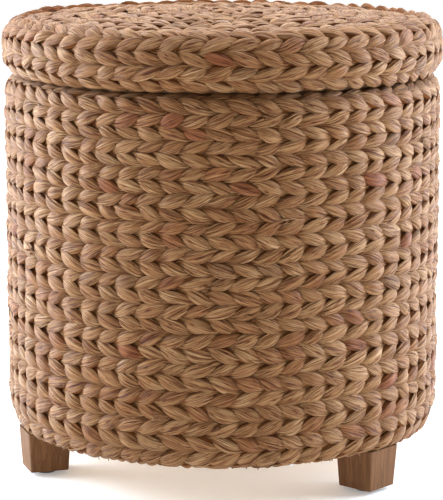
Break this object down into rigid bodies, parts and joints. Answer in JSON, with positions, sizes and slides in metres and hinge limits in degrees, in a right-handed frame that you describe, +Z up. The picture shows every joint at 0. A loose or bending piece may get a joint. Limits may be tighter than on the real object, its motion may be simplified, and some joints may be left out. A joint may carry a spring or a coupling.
{
  "type": "round storage ottoman",
  "caption": "Round woven storage ottoman: a twined fibre drum on short tapered wooden legs, with a lift-off padless lid that serves as seat, footrest or side table.",
  "frame": {"origin": "on the floor, on the drum's centre line", "axes": "+Z up through the lid, front towards -Y (legs stand at 78.5, 198.5 and 318.5 degrees from +X)"},
  "size_m": [0.455, 0.455, 0.476],
  "materials": {
    "hyacinth_weave": "natural dried stem, dull",
    "leg_wood": "satin brown stain",
    "plywood": "bare plywood",
    "rattan": "peeled cane",
    "screw_steel": "zinc plated",
    "glide_nylon": "moulded nylon"
  },
  "bodies": {
    "drum": {"base_border": "hyacinth_weave", "bottom_board": "plywood", "frame_post_1": "rattan", "frame_post_2": "rattan", "frame_post_3": "rattan", "frame_post_4": "rattan", "frame_post_5": "rattan", "frame_post_6": "rattan", "glide_1": "glide_nylon", "glide_2": "glide_nylon", "glide_3": "glide_nylon", "hoop_screw_1": "screw_steel", "hoop_screw_2": "screw_steel", "hoop_screw_3": "screw_steel", "hoop_screw_4": "screw_steel", "hoop_screw_5": "screw_steel", "hoop_screw_6": "screw_steel", "leg_1": "leg_wood", "leg_1_screw_a": "screw_steel", "leg_1_screw_b": "screw_steel", "leg_2": "leg_wood", "leg_2_screw_a": "screw_steel", "leg_2_screw_b": "screw_steel", "leg_3": "leg_wood", "leg_3_screw_a": "screw_steel", "leg_3_screw_b": "screw_steel", "middle_hoop": "rattan", "post_foot_screw_1": "screw_steel", "post_foot_screw_2": "screw_steel", "post_foot_screw_3": "screw_steel", "post_foot_screw_4": "screw_steel", "post_foot_screw_5": "screw_steel", "post_foot_screw_6": "screw_steel", "rim_border": "hyacinth_weave", "rim_hoop": "rattan", "rim_screw_1": "screw_steel", "rim_screw_2": "screw_steel", "rim_screw_3": "screw_steel", "rim_screw_4": "screw_steel", "rim_screw_5": "screw_steel", "rim_screw_6": "screw_steel", "woven_wall": "hyacinth_weave"},
    "lid": {"lid_board": "plywood", "lid_border": "hyacinth_weave", "lid_locating_ring": "plywood", "lid_screw_1": "screw_steel", "lid_screw_2": "screw_steel", "lid_screw_3": "screw_steel", "lid_screw_4": "screw_steel", "lid_screw_5": "screw_steel", "lid_screw_6": "screw_steel", "lid_side_ring": "plywood", "lid_woven_cover": "hyacinth_weave"}
  },
  "joints": [
    {"name": "lid_lift", "type": "slide", "parent": "drum", "child": "lid", "axis": [0, 0, 1], "range_m": [0, 0.25]}
  ]
}
